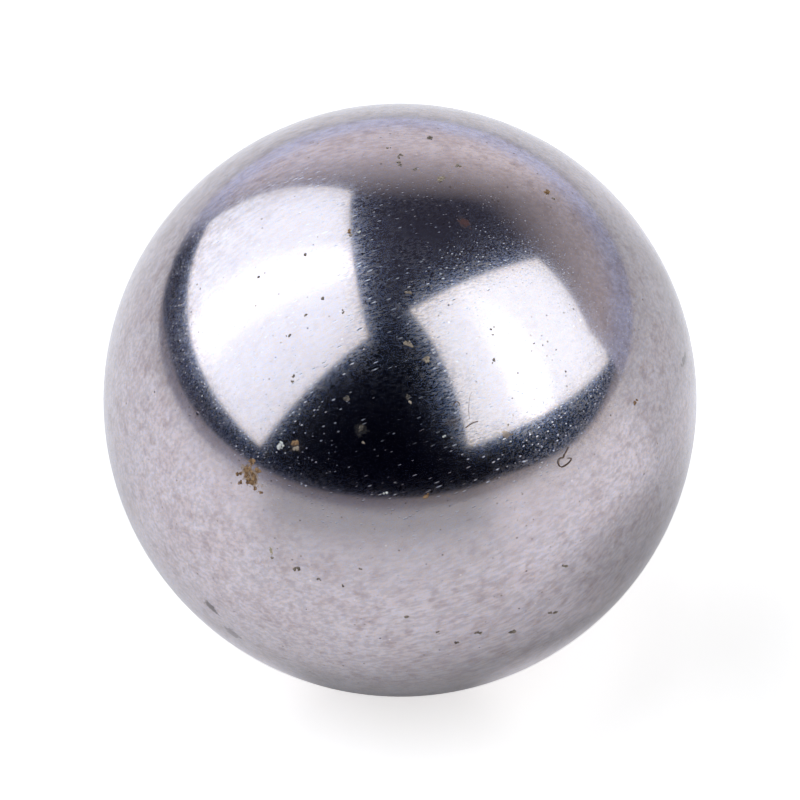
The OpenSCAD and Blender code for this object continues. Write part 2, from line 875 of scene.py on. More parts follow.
@dataclass
class WornBall:
    """The ball itself: a true sphere, with the hollows that use has left in it.

    The half lengths are a hollow's least and how much more the largest has, in millimetres. Widths are
    shares of the half length, depths are shares of the half width, and the gap between two hollows is
    in half lengths. The mesh is made fine out to a margin round each one, and its depth is looked for
    within the search share of its half length.
    """

    radius: float
    coarse_levels: int = 6
    fine_levels: int = 3
    hollow_count: int = 240
    seed: int = 12
    half_lengths: Span = (0.030, 0.05)
    widths: Span = (0.4, 1.0)
    depths: Span = (0.03, 0.07)
    gap: float = 1.6
    margin: float = 0.30 * MM
    margin_share: float = 1.1
    search_share: float = 2.0
    normal_step: float = 1.5 * MICRON
    near_pole: float = 0.9

    def hollows(self) -> list[Hollow]:
        """Scatter the hollows, mostly small ones, well apart from each other.

        Returns:
            The hollows.
        """
        rng = np.random.default_rng(self.seed)
        made: list[Hollow] = []
        least, more = self.half_lengths
        while len(made) < self.hollow_count:
            centre = unit(rng.normal(size=3))
            half_length = (least + more * rng.random() ** 3) * MM
            half_width = half_length * rng.uniform(*self.widths)
            if all(np.linalg.norm(centre - other.centre) * self.radius
                   > self.gap * (half_length + other.half_length) for other in made):
                along, across = tangents(centre, rng.uniform(0.0, 180.0))
                depth = half_width * rng.uniform(*self.depths)
                made.append(Hollow(centre, along, across, half_length, half_width, depth))
        return made

    def build(self) -> bpy.types.Object:
        """Make the ball's mesh, fine only where its hollows are.

        Returns:
            The ball, with normals that follow the true surface.
        """
        hollows = self.hollows()
        shape = icosphere(self.coarse_levels)
        for level in range(self.fine_levels):
            self._refine(shape, hollows, 0.5 ** level * self.margin)
        points, faces = points_and_faces(shape)
        units = unit(points)
        depth = self._depth(units, hollows)
        piece = make_object("steel_ball", units * (self.radius - depth)[:, None], faces)
        piece.data.normals_split_custom_set_from_vertices(self._normals(units, hollows).tolist())
        return piece

    def _refine(self, shape: bmesh.types.BMesh, hollows: list[Hollow], margin: float) -> None:
        """Halve the edges of the faces near each hollow and push the new points out to the sphere.

        Args:
            shape: the mesh.
            hollows: the hollows.
            margin: how far round each hollow the mesh is made finer.
        """
        shape.faces.ensure_lookup_table()
        middles = unit(np.array([face.calc_center_median()[:] for face in shape.faces]))
        near = np.zeros(len(middles), bool)
        for hollow in hollows:
            far = np.linalg.norm(middles - hollow.centre, axis=1) * self.radius
            near |= far < hollow.half_length * self.margin_share + margin
        edges = {edge for index in np.flatnonzero(near) for edge in shape.faces[index].edges}
        bmesh.ops.subdivide_edges(shape, edges=list(edges), cuts=1, use_grid_fill=True)
        bmesh.ops.triangulate(shape, faces=[face for face in shape.faces if len(face.verts) > 3])
        for vert in shape.verts:
            vert.co.normalize()

    def _depth(self, units: np.ndarray, hollows: list[Hollow]) -> np.ndarray:
        """Add up the depth of all the hollows.

        Args:
            units: unit vectors to places on the ball.
            hollows: the hollows.

        Returns:
            The depth at each place.
        """
        total = np.zeros(len(units))
        for hollow in hollows:
            angle = self.search_share * hollow.half_length / self.radius
            near = np.flatnonzero(units @ hollow.centre > math.cos(angle))
            total[near] += hollow.depth_at(units[near], self.radius)
        return total

    def _normals(self, units: np.ndarray, hollows: list[Hollow]) -> np.ndarray:
        """Work out the surface's true normals from the slope of its depth.

        Args:
            units: unit vectors to places on the ball.
            hollows: the hollows.

        Returns:
            The normal at each place.
        """
        step = self.normal_step / self.radius
        helper = np.where(np.abs(units[:, 2:]) < self.near_pole, [[0.0, 0.0, 1.0]], [[1.0, 0.0, 0.0]])
        first = unit(np.cross(helper, units))
        normals = units.copy()
        for axis in (first, np.cross(units, first)):
            ahead, behind = (self._depth(unit(units + way * axis), hollows) for way in (step, -step))
            normals += ((ahead - behind) / (2.0 * step * self.radius))[:, None] * axis
        return unit(normals)


# ---------------------------------------------------------------- soil and lint


@dataclass(frozen=True)
class Mark:
    """One spot of soil: where it lies, its length and width in millimetres, and its turn from east."""

    longitude: float
    latitude: float
    length: float
    width: float
    turn: float = 0.0


class Soil(Enum):
    """The kinds of soil on the ball, each with the name of its piece."""

    RUST = "rust_crumbs"
    TAN = "dried_soil"
    GRIME = "grime_crumbs"
    DUST = "dust_grains"
    # the darkest grains, at three listed places on the front of the ball near its top and a few on its far
    # side
    DARKEST = "darkest_grains"


@dataclass(frozen=True)
class SoilKind:
    """What sets one kind of soil apart: its finish, its slot, and how many marks the far side gets."""

    finish: SoilFinish
    slot: str
    far_side_count: int


SOIL_KINDS: dict[Soil, SoilKind] = {
    Soil.RUST: SoilKind(
        SoilFinish("orange_rust", (0.13, 0.065, 0.035), (0.45, 0.270, 0.140), 0.90, 0.05 * MM), "rust", 22),
    Soil.TAN: SoilKind(
        SoilFinish("tan_soil", (0.20, 0.15, 0.11), (0.48, 0.39, 0.31), 0.85, 0.06 * MM), "dust", 18),
    Soil.GRIME: SoilKind(
        SoilFinish("dark_grime", (0.110, 0.080, 0.062), (0.38, 0.31, 0.25), 0.75, 0.05 * MM), "dust", 60),
    Soil.DUST: SoilKind(
        SoilFinish("pale_dust", (0.52, 0.50, 0.48), (0.88, 0.87, 0.84), 0.80, 0.05 * MM), "dust", 14),
    Soil.DARKEST: SoilKind(
        SoilFinish("darkest_soil", (0.050, 0.042, 0.036), (0.19, 0.155, 0.130), 0.85, 0.06 * MM), "dust", 8),
}
LINT_FINISH = SoilFinish("brown_lint", (0.085, 0.050, 0.035), (0.24, 0.16, 0.12), 0.75, 0.04 * MM)

SOIL_MARKS: dict[Soil, tuple[Mark, ...]] = {
    Soil.RUST: (
        Mark(-32.6, 22.2, 0.85, 0.45, -50), Mark(-32.6, 24.8, 0.34, 0.22, 40),
        Mark(-31.0, 23.7, 0.28, 0.18), Mark(-34.5, 20.1, 0.22, 0.14, 55),
        Mark(-35.1, 21.6, 0.22, 0.12, 25), Mark(-32.5, 20.8, 0.30, 0.18, 25),
        Mark(-31.0, 20.0, 0.20, 0.14), Mark(-29.6, 19.5, 0.22, 0.09, -35),
        Mark(-23.7, 30.8, 0.32, 0.18, 15), Mark(-27.8, 72.6, 0.20, 0.14, -75),
        Mark(56.6, 22.3, 0.30, 0.13, 10), Mark(4.1, 22.0, 0.32, 0.11, 20),
        Mark(91.7, 58.9, 0.36, 0.20, -40),
    ),
    Soil.TAN: (
        Mark(-23.3, 29.7, 0.28, 0.14, 15), Mark(5.0, 60.6, 0.20, 0.10, 5),
        Mark(3.4, 50.8, 0.32, 0.20, -25), Mark(7.9, 47.5, 0.22, 0.20), Mark(2.6, 40.0, 0.11, 0.09),
        Mark(-8.6, 32.7, 0.09, 0.08), Mark(73.6, 79.9, 0.36, 0.26), Mark(89.6, 57.7, 0.18, 0.10),
        Mark(24.0, 32.2, 0.11, 0.06), Mark(28.2, 49.9, 0.15, 0.07), Mark(27.9, 48.9, 0.12, 0.06),
        Mark(29.5, 50.2, 0.08, 0.04), Mark(26.0, 44.4, 0.16, 0.08, -15), Mark(25.2, 44.0, 0.09, 0.04),
        Mark(38.0, 44.1, 0.08, 0.04), Mark(40.2, 43.0, 0.09, 0.05), Mark(36.5, 43.1, 0.06, 0.03),
        Mark(42.8, 40.9, 0.13, 0.04, 55), Mark(39.7, 40.9, 0.08, 0.03),
    ),
    Soil.GRIME: (
        Mark(97.1, 76.6, 0.26, 0.14, -70), Mark(142.7, 76.6, 0.32, 0.16, -60),
        Mark(149.6, 85.6, 0.34, 0.10, 90), Mark(119.4, 87.6, 0.32, 0.10), Mark(178.2, 83.4, 0.16, 0.10),
        Mark(86.2, 85.1, 0.14, 0.10), Mark(-32.9, 49.6, 0.16, 0.12, 10),
        Mark(-53.5, 56.6, 0.14, 0.09, 20), Mark(-42.4, 65.0, 0.17, 0.10, 20),
        Mark(-26.2, 58.2, 0.17, 0.10, 10), Mark(-29.8, 54.2, 0.12, 0.09),
        Mark(-18.0, 56.5, 0.19, 0.09, -75), Mark(-27.5, 42.8, 0.26, 0.08, 45),
        Mark(-27.3, 41.7, 0.16, 0.08, -10), Mark(-26.3, 72.0, 0.11, 0.09),
        Mark(-26.4, 6.6, 0.16, 0.09, -85), Mark(-21.3, 5.2, 0.28, 0.16, 25), Mark(-17.0, 3.6, 0.17, 0.12),
        Mark(-0.6, -4.6, 0.16, 0.13), Mark(5.1, -9.6, 0.15, 0.12), Mark(8.8, -13.9, 0.22, 0.15),
        Mark(13.1, -11.9, 0.28, 0.13, -25), Mark(20.3, -14.5, 0.40, 0.17, -10),
        Mark(30.9, -0.9, 0.29, 0.10, -30), Mark(28.9, -13.0, 0.55, 0.10, -30),
        Mark(-12.2, 2.9, 0.20, 0.08, 20), Mark(-8.7, 7.2, 0.22, 0.07),
    ),
    Soil.DUST: (
        Mark(-27.0, 29.5, 0.32, 0.26, 55), Mark(-27.0, 29.5, 0.16, 0.14, 10),
        Mark(-3.9, 23.1, 0.15, 0.14), Mark(-21.6, 73.1, 0.16, 0.07, 10), Mark(9.8, 33.0, 0.24, 0.06, 10),
    ),
    Soil.DARKEST: (
        Mark(2.0, 41.0, 0.20, 0.18), Mark(-13.0, 40.5, 0.24, 0.18, -25), Mark(-9.2, 35.3, 0.24, 0.16, 90),
    ),
}


@dataclass
class SoilPiece:
    """All the soil of one kind: low, ragged grains pressed onto the ball, joined into one piece.

    Sizes are in millimetres. Pairs are the least and the most that is drawn, except that the second of
    the far lengths is how much more the longest has. Widths and heights are shares of a length or a
    half width. Mesh levels are for small grains and for those from fine_from up.
    """

    kind: Soil
    marks: tuple[Mark, ...]
    ball_radius: float
    far_side_count: int
    seed: int
    sunk_share: float = 0.35
    grain_area: float = 0.0065
    grain_widths: Span = (0.020, 0.048)
    grain_lengths: Span = (1.0, 1.7)
    grain_heights: Span = (0.35, 0.7)
    widest_share: float = 0.42
    spread: float = 0.80
    spread_areas: Span = (0.05, 1.0)
    least_grains: int = 2
    fine_from: float = 0.035
    mesh_levels: tuple[int, int] = (2, 3)
    flats: int = 9
    flat_levels: Span = (0.62, 1.0)
    least_facing: float = 1e-3
    waves: int = 6
    wave_scale: float = 4.0
    wave_height: float = 0.035
    far_lengths: Span = (0.08, 0.26)
    far_widths: Span = (0.4, 0.9)
    far_limit: float = -0.15
    listed_side: Span = (0.0, 45.0)

    def build(self) -> bpy.types.Object:
        """Make the piece.

        Returns:
            The grains as one object.
        """
        rng = np.random.default_rng(self.seed)
        marks = (*self.marks, *self._far_side(rng))
        return join_parts(self.kind.value, (part for mark in marks for part in self._grains(mark, rng)))

    def _far_side(self, rng: np.random.Generator) -> list[Mark]:
        """Scatter more small marks over the sides that the listed marks leave bare.

        Args:
            rng: the piece's random numbers.

        Returns:
            The marks.
        """
        listed_side = direction(*self.listed_side)
        least, more = self.far_lengths
        made: list[Mark] = []
        while len(made) < self.far_side_count:
            spot = unit(rng.normal(size=3))
            length = least + more * rng.random() ** 2
            width = length * rng.uniform(*self.far_widths)
            turn = rng.uniform(0.0, 180.0)
            if spot @ listed_side < self.far_limit:
                made.append(Mark(math.degrees(math.atan2(spot[0], -spot[1])),
                                 math.degrees(math.asin(spot[2])), length, width, turn))
        return made

    def _grains(self, mark: Mark, rng: np.random.Generator) -> list[tuple[np.ndarray, Faces]]:
        """Break one mark up into grains that overlap inside its oval.

        Args:
            mark: the mark.
            rng: the piece's random numbers.

        Returns:
            The points and faces of each grain.
        """
        centre = direction(mark.longitude, mark.latitude)
        along, across = tangents(centre, mark.turn)
        count = max(self.least_grains, round(mark.length * mark.width / self.grain_area))
        made = []
        for index in range(count):
            angle = 2.0 * math.pi * (index + rng.random()) / count
            reach = self.spread * math.sqrt(rng.uniform(*self.spread_areas))
            away = (along * math.cos(angle) * mark.length * reach
                    + across * math.sin(angle) * mark.width * reach) * MM / 2.0 / self.ball_radius
            spot = unit(centre + away)
            half_width = min(rng.uniform(*self.grain_widths), self.widest_share * mark.width)
            half = np.array([half_width * rng.uniform(*self.grain_lengths), half_width]) * MM
            grain_along = tangents(spot, rng.uniform(0.0, 180.0))[0]
            made.append(self._grain(spot, grain_along, half, rng))
        return made

    def _grain(self, spot: np.ndarray, along: np.ndarray, half: np.ndarray,
               rng: np.random.Generator) -> tuple[np.ndarray, Faces]:
        """Make one grain: a ball cut by flats, roughened, flattened and pressed onto the steel.

        Args:
            spot: unit vector to its place on the ball.
            along: roughly the way its length lies.
            half: half its length and half its width.
            rng: the piece's random numbers.

        Returns:
            Its points and faces.
        """
        small, large = self.mesh_levels
        units, faces = points_and_faces(icosphere(large if half[0] > self.fine_from * MM else small))
        cuts = unit(rng.normal(size=(self.flats, 3)))
        levels = rng.uniform(*self.flat_levels, size=self.flats)
        size = np.minimum(1.0, (levels / np.maximum(units @ cuts.T, self.least_facing)).min(axis=1))
        waves = rng.normal(scale=self.wave_scale, size=(self.waves, 3))
        phases = rng.uniform(0.0, 2.0 * math.pi, size=self.waves)
        size = size * (1.0 + self.wave_height * np.sin(units @ waves.T + phases).sum(axis=1))
        side = unit(np.cross(spot, along))
        height = half[1] * rng.uniform(*self.grain_heights)
        body = units * size[:, None]
        lift = self.ball_radius + height * (1.0 - 2.0 * self.sunk_share)
        return (spot * lift + np.outer(body[:, 0] * half[0], np.cross(side, spot))
                + np.outer(body[:, 1] * half[1], side) + np.outer(body[:, 2] * height, spot)), faces


@dataclass(frozen=True)
class Fibre:
    """A hair of lint, drawn by points in millimetres east and north of its middle."""

    longitude: float
    latitude: float
    thickness: float
    lift: float
    line: tuple[Span, ...]


FIBRES: tuple[Fibre, ...] = (
    Fibre(34.6, 22.0, 0.032, 0.02, (
        (0.23, 0.27), (0.12, 0.17), (0.01, 0.09), (-0.07, 0.01), (-0.19, 0.04), (-0.29, -0.04),
        (-0.29, -0.18), (-0.20, -0.27), (-0.02, -0.27), (0.15, -0.22), (0.21, -0.14), (0.07, -0.08))),
    Fibre(16.0, 34.3, 0.034, 0.01, ((-0.23, -0.09), (-0.07, -0.02), (0.07, 0.02), (0.22, 0.02))),
    Fibre(16.5, 37.8, 0.007, 0.01, (
        (0.17, 0.41), (0.05, 0.23), (-0.03, 0.01), (-0.09, -0.22), (-0.11, -0.46))),
    Fibre(13.5, 38.5, 0.020, 0.01, ((-0.15, -0.04), (-0.02, 0.07), (0.07, 0.02), (0.09, -0.09))),
    Fibre(168.0, 12.0, 0.035, 0.06, (
        (-0.60, 0.10), (-0.30, -0.15), (0.00, 0.05), (0.20, 0.35), (0.45, 0.20))),
    Fibre(-150.0, -25.0, 0.030, 0.04, ((-0.35, 0.20), (-0.10, 0.28), (0.15, 0.10), (0.20, -0.20))),
)


@dataclass
class Lint:
    """Hairs and a looped thread of lint that lie on the ball."""

    fibres: tuple[Fibre, ...]
    ball_radius: float
    sides: int = 8
    steps: int = 8
    rest_share: float = 0.35
    end_share: float = 0.6

    def build(self) -> bpy.types.Object:
        """Make all the fibres as one object."""
        return join_parts("lint", (self._tube(fibre) for fibre in self.fibres))

    def _centre_line(self, fibre: Fibre) -> np.ndarray:
        """Pass a smooth curve through a fibre's points and lay it on the ball.

        Args:
            fibre: the fibre.

        Returns:
            The points along its middle.
        """
        middle = direction(fibre.longitude, fibre.latitude)
        flat = np.array(fibre.line) * MM
        ends = np.vstack([2.0 * flat[0] - flat[1], flat, 2.0 * flat[-1] - flat[-2]])
        line = [self._between(ends[k - 1:k + 3], step / self.steps)
                for k in range(1, len(ends) - 2) for step in range(self.steps)]
        line.append(flat[-1])
        arch = np.sin(math.pi * np.linspace(0.0, 1.0, len(line))) ** 2
        height = self.ball_radius + (fibre.thickness * self.rest_share + fibre.lift * arch) * MM
        return unit(middle * self.ball_radius + np.array(line) @ np.array(tangents(middle))) * height[:, None]

    @staticmethod
    def _between(four: np.ndarray, share: float) -> np.ndarray:
        """Give a point on the smooth curve between the middle two of four points.

        Args:
            four: the four points.
            share: how far along it lies, from 0 to 1.

        Returns:
            The point.
        """
        a, b, c, d = four
        return 0.5 * (2.0 * b + (c - a) * share + (2.0 * a - 5.0 * b + 4.0 * c - d) * share ** 2
                      + (3.0 * b - a - 3.0 * c + d) * share ** 3)

    def _tube(self, fibre: Fibre) -> tuple[np.ndarray, Faces]:
        """Sweep a round section along a fibre's line and close both ends.

        Args:
            fibre: the fibre.

        Returns:
            The tube's points and faces.
        """
        line = self._centre_line(fibre)
        heading = unit(np.gradient(line, axis=0))
        side = unit(np.cross(line, heading))
        upward = np.cross(heading, side)
        width = np.full(len(line), fibre.thickness * MM / 2.0)
        width[[0, -1]] *= self.end_share
        angles = np.arange(self.sides) * 2.0 * math.pi / self.sides
        rings = [line[k] + width[k] * (np.outer(np.cos(angles), side[k])
                                       + np.outer(np.sin(angles), upward[k])) for k in range(len(line))]
        points = np.vstack([*rings, line[:1], line[-1:]])
        first, last = len(points) - 2, len(points) - 1
        faces = quads(len(line), self.sides)
        for s in range(self.sides):
            after = (s + 1) % self.sides
            faces.append([first, after, s])
            faces.append([last, last - 1 - self.sides + s, last - 1 - self.sides + after])
        return points, faces


# ---------------------------------------------------------------- the studio


@dataclass(frozen=True)
class SoftBox:
    """A softbox: a glowing cloth face with a black back, brightest along its middle.

    The bright middle fades towards the top of the cloth by the share core_fade.
    The cloth is pinned at four corners, given in half sizes round from the lower left one, and its four
    sides bow in between them by the bows, bottom side first.
    """

    name: str
    distance: float
    azimuth: float
    elevation: float
    heading: float
    tilt: float
    roll: float
    width: float
    height: float
    core_shift: float
    corners: tuple[Span, ...]
    bows: tuple[float, float, float, float]
    glow: Colour = (1.70, 1.87, 2.01)
    core: float = 1.45
    core_reach: float = 0.28
    core_fade: float = 0.0
    fade_span: Span = (-0.4, 0.7)
    ends: Ramp = Ramp(0.30, 1.10, 1.0, 0.82)
    steps: int = 16

    def build(self) -> bpy.types.Object:
        """Make the softbox's face and its glow.

        Returns:
            The face.
        """
        line = [2.0 * step / self.steps - 1.0 for step in range(self.steps + 1)]
        points = [self._pinned(x, y) for y in line for x in line]
        faces = quads(len(line), len(line), closed=False)
        piece = stage_piece(self.name, points, faces, self._material())
        frame_z = Vector(direction(self.heading, -self.tilt))
        frame_x = Vector((0.0, 0.0, 1.0)).cross(frame_z).normalized()
        basis = Matrix((frame_x, frame_z.cross(frame_x), frame_z)).transposed()
        turn = basis @ Matrix.Rotation(math.radians(self.roll), 3, "Z")
        middle = Vector(direction(self.azimuth, self.elevation)) * self.distance
        piece.matrix_world = Matrix.LocRotScale(middle, turn, None)
        return piece

    def _pinned(self, x: float, y: float) -> tuple[float, float, float]:
        """Move a point of the flat cloth to where the corners and bows take it.

        Args:
            x: how far across it is, in half widths.
            y: how far up it is, in half heights.

        Returns:
            The point on the pinned cloth.
        """
        shares = [(1 + i * x) * (1 + j * y) / 4 for i, j in ((-1, -1), (1, -1), (1, 1), (-1, 1))]
        across, up = (sum(share * corner[k] for share, corner in zip(shares, self.corners)) for k in (0, 1))
        bottom, right, top, left = self.bows
        across += (1 - y * y) * (left * (1 - x) - right * (1 + x)) / 2
        up += (1 - x * x) * (bottom * (1 - y) - top * (1 + y)) / 2
        return across * self.width / 2.0, up * self.height / 2.0, 0.0

    def _material(self) -> bpy.types.Material:
        """Make the glow: even over the cloth, stronger along its middle, black behind.

        Returns:
            The cloth's material.
        """
        tree = Glow(self.name + "_cloth")
        x, y, _ = tree.split(tree.place)
        shifted = tree.math("SUBTRACT", x, self.core_shift * self.width)
        off_core, aside = (tree.math("ABSOLUTE", tree.math("DIVIDE", away, self.width / 2.0))
                           for away in (shifted, x))
        upward = tree.math("DIVIDE", y, self.height / 2.0)
        fade = tree.remap(upward, Ramp(*self.fade_span, 1.0, 1.0 - self.core_fade))
        extra = tree.remap(off_core, Ramp(0.0, self.core_reach, self.core - 1.0, 0.0))
        core = tree.math("ADD", 1.0, tree.product(extra, fade))
        front = tree.math("SUBTRACT", 1.0, tree.node("NewGeometry").outputs["Backfacing"])
        strength = tree.product(core, tree.remap(aside, self.ends), front)
        tree.node("OutputMaterial", tree.light(self.glow, strength))
        return tree.material


SOFT_BOXES: tuple[SoftBox, ...] = (
    SoftBox("softbox_left", distance=0.502, azimuth=-118.6, elevation=47.9, heading=93.8, tilt=27.7, roll=3.2,
            width=0.915, height=0.632, core_shift=-0.09, bows=(0.03, 0.0, 0.06, -0.01),
            corners=((-0.99, -0.94), (0.95, -1.01), (0.95, 1.02), (-0.98, 1.01))),
    SoftBox("softbox_right", distance=0.60, azimuth=82.4, elevation=38.4, heading=-137.6, tilt=31.4, roll=4.9,
            width=0.809, height=0.587, core_shift=0.18, bows=(0.0, 0.06, 0.06, 0.0),
            corners=((-1.0, -0.99), (1.05, -0.94), (1.02, 1.08), (-1.03, 0.95)), core_fade=0.85,
            glow=(1.81, 1.99, 2.09)),
)


@dataclass(frozen=True)
class Sector:
    """A part of the table, by the longitude it lies at and a ramp over the degrees to either side."""

    longitude: float
    ramp: Ramp

    def level(self, tree: Tree, turn: Socket) -> Socket:
        """Give its level at each longitude."""
        away = tree.math("ABSOLUTE", tree.math("SUBTRACT", turn, self.longitude))
        return tree.remap(away, self.ramp)


@dataclass(frozen=True)
class Shade:
    """A soft patch on the table, in ball radii round the point where the ball rests."""

    # a patch of painted shadow in the table's glow, or of painted light where it takes shade away
    x: float
    y: float
    inner: float
    outer: float
    depth: float

    def level(self, tree: Tree, place: Socket, radius: float) -> Socket:
        """Give its depth at each place."""
        ramp = Ramp(self.inner * radius, self.outer * radius, self.depth, 0.0)
        return tree.patch(place, (self.x * radius, self.y * radius, -radius), ramp)


@dataclass(frozen=True)
class Table:
    """The round pale table, with a low turned-up edge that dips at two places.

    Each dip is the longitude it lies at and the degrees to either side. The light pool, the ball's
    shade and the far glow are painted light and painted shadow in the table's glow, which the ball
    mirrors. The eye sees an even top with the ball's shade on it, partly the real shadow of the diffuse
    top and partly painted shadow in the glow. The painted shade is full out to hidden_reach from the
    point hidden_from, both in ball radii, and fades by hidden_power.
    """

    ball_radius: float
    radius: float = 1.3
    rings: tuple[float, ...] = (0.02, 0.05, 0.1, 0.2, 0.4, 0.7, 1.0, 1.3)
    segments: int = 96
    lip_height: float = 0.075
    lip_curl: float = 0.05
    lip_steps: int = 6
    dips: tuple[Span, ...] = ((-130.0, 24.0), (68.0, 34.0))

    albedo: Colour = (0.73, 0.70, 0.68)
    seen_tone: Colour = (1.0, 0.98, 0.97)
    left_tone: Colour = (0.98, 0.98, 1.12)
    right_tone: Colour = (1.01, 0.985, 0.98)
    sideways: Ramp = Ramp(-0.25, 0.25, eased=False)
    # the glow the eye sees: dimmed by the painted shadow of the ball, and raised on the far table
    seen_glow: Ramp = Ramp(0.0, 1.0, 0.73, 0.62, eased=False)
    unlit: Ramp = Ramp(0.28, 0.45, 0.0, 0.36, eased=False)
    # painted light: the strength of the mirrored light pool, and the far table's extra mirrored glow
    glow: float = 0.475
    far_glow: Ramp = Ramp(0.10, 0.70, 0.0, 0.245, eased=False)
    # painted shade: the mirrored glow is dimmer round these two longitudes
    corners: tuple[Sector, ...] = (
        Sector(-130.0, Ramp(20.0, 42.0, 0.84, 1.0)), Sector(146.0, Ramp(10.0, 28.0, 0.90, 1.0)))

    # painted shadow of the ball in the glow, two more patches of painted shadow beside it and before it, and
    # painted light that leaks back in under it but not at the front
    hidden_from: Span = (0.1, -0.2)
    hidden_reach: float = 1.2
    hidden_power: float = 4.0
    beside: Shade = Shade(1.5, -0.35, 0.2, 1.6, 0.82)
    before: Shade = Shade(0.8, -1.05, 0.1, 0.8, 0.50)
    leak: Shade = Shade(0.0, 0.0, 0.60, 0.95, 0.7)
    leak_sides: Sector = Sector(-8.0, Ramp(26.0, 50.0))

    # the painted light pool: how it thins with distance, its painted shadow at the front, and its fall-off
    # towards the back right and the back
    thinning: Ramp = Ramp(0.08, 0.24, 1.0, 0.35)
    front: Sector = Sector(-10.0, Ramp(32.0, 48.0, 1.0, 0.0))
    front_shadow_fall: Ramp = Ramp(0.006, 0.075, 0.0, 0.95, eased=False)
    back_right: Sector = Sector(118.0, Ramp(20.0, 36.0, 0.41, 1.0))
    right_start: Ramp = Ramp(0.018, 0.030, eased=False)
    back: Ramp = Ramp(0.015, 0.06, 1.0, 0.68)

    def build(self) -> bpy.types.Object:
        """Make the table.

        Returns:
            The table.
        """
        profile = [(r, 0.0) for r in self.rings]
        for step in range(1, self.lip_steps + 1):
            angle = math.radians(90.0 * step / self.lip_steps)
            profile.append((self.radius + self.lip_curl * math.sin(angle),
                            self.lip_height * (1.0 - math.cos(angle))))
        floor_z, count = -self.ball_radius, self.segments
        points = [(0.0, 0.0, floor_z)]
        for r, rise in profile:
            for s in range(count):
                a = 2.0 * math.pi * s / count
                points.append((r * math.cos(a), r * math.sin(a), floor_z + rise * self._rise_share(a)))
        middle = [[0, 1 + s, 1 + (s + 1) % count] for s in range(count)]
        faces = middle + quads(len(profile), count, flipped=True, start=1)
        return stage_piece("table", points, faces, self._material())

    def _rise_share(self, angle: float) -> float:
        """Say how much of the edge's rise is left by the dips.

        Args:
            angle: the angle round the table from +X, in radians.

        Returns:
            A share from 0 to 1.
        """
        turn = math.degrees(math.atan2(math.cos(angle), -math.sin(angle)))
        away = min(1.0, *[abs(turn - longitude) / reach for longitude, reach in self.dips])
        return 0.5 - 0.5 * math.cos(math.pi * away)

    def _material(self) -> bpy.types.Material:
        """Make the table's finish and its glow.

        Returns:
            The table top's material.
        """
        tree = Glow("table_top")
        x, y, _ = tree.split(tree.place)
        turn = tree.math("DEGREES", tree.math("ARCTAN2", x, tree.product(y, -1.0)))
        # painted shadow: the ball's shade dims the glow that is mirrored and the glow that is seen; the
        # painted light pool is only mirrored
        shade = self._ball_shade(tree, turn)
        level = tree.product(self._pool(tree, x, y, turn), tree.math("SUBTRACT", 1.0, shade))
        reach = tree.measure("LENGTH", tree.place)
        seen = tree.math("ADD", tree.remap(shade, self.seen_glow), tree.remap(reach, self.unlit))
        both = tree.math("ADD", tree.product(level, self.glow), tree.remap(reach, self.far_glow))
        mirrored = tree.product(both, *[corner.level(tree, turn) for corner in self.corners])
        mirrored_tone = tree.mix(tree.remap(x, self.sideways), self.left_tone, self.right_tone)
        eye = tree.node("LightPath").outputs["Is Camera Ray"]
        tree.lit_by_eye(self.albedo, tree.mix(eye, mirrored_tone, self.seen_tone), seen, mirrored)
        return tree.material

    def _ball_shade(self, tree: Glow, turn: Socket) -> Socket:
        """Work out how much of the room the ball hides from each place on the table.

        This is painted shadow in the table's glow, and some painted light comes back in right under the ball,
        except at the front.

        Args:
            tree: the material's tree.
            turn: the longitude of each place.

        Returns:
            The share that is hidden, 0 to 1.
        """
        size = self.ball_radius
        away = tree.measure("DISTANCE", tree.place, (*[part * size for part in self.hidden_from], 0.0))
        near = tree.math("DIVIDE", self.hidden_reach * size, away)
        hidden = tree.math("POWER", near, self.hidden_power, clamp=True)
        beside, before, leak = (patch.level(tree, tree.place, size)
                                for patch in (self.beside, self.before, self.leak))
        shade = tree.math("MAXIMUM", tree.math("MAXIMUM", hidden, before), beside)
        leaked = tree.product(leak, self.leak_sides.level(tree, turn))
        return tree.product(shade, tree.math("SUBTRACT", 1.0, leaked))

    def _pool(self, tree: Glow, x: Socket, y: Socket, turn: Socket) -> Socket:
        """Work out how bright the table is, apart from the ball's shade.

        The light pool is painted light in the table's glow. It thins out with distance, and falls off
        towards the front into painted shadow, where whoever works there stands, and towards the back
        right, past the softbox.

        Args:
            tree: the material's tree.
            x: how far right each place is.
            y: how far back it is.
            turn: its longitude.

        Returns:
            The painted brightness, 1 at its most.
        """
        reach = tree.hypotenuse(x, y)
        fall = tree.product(self.front.level(tree, turn), tree.remap(reach, self.front_shadow_fall))
        right = tree.mix_values(tree.remap(reach, self.right_start), 1.0, self.back_right.level(tree, turn))
        return tree.product(tree.remap(reach, self.thinning), tree.math("SUBTRACT", 1.0, fall), right,
                            tree.remap(y, self.back))


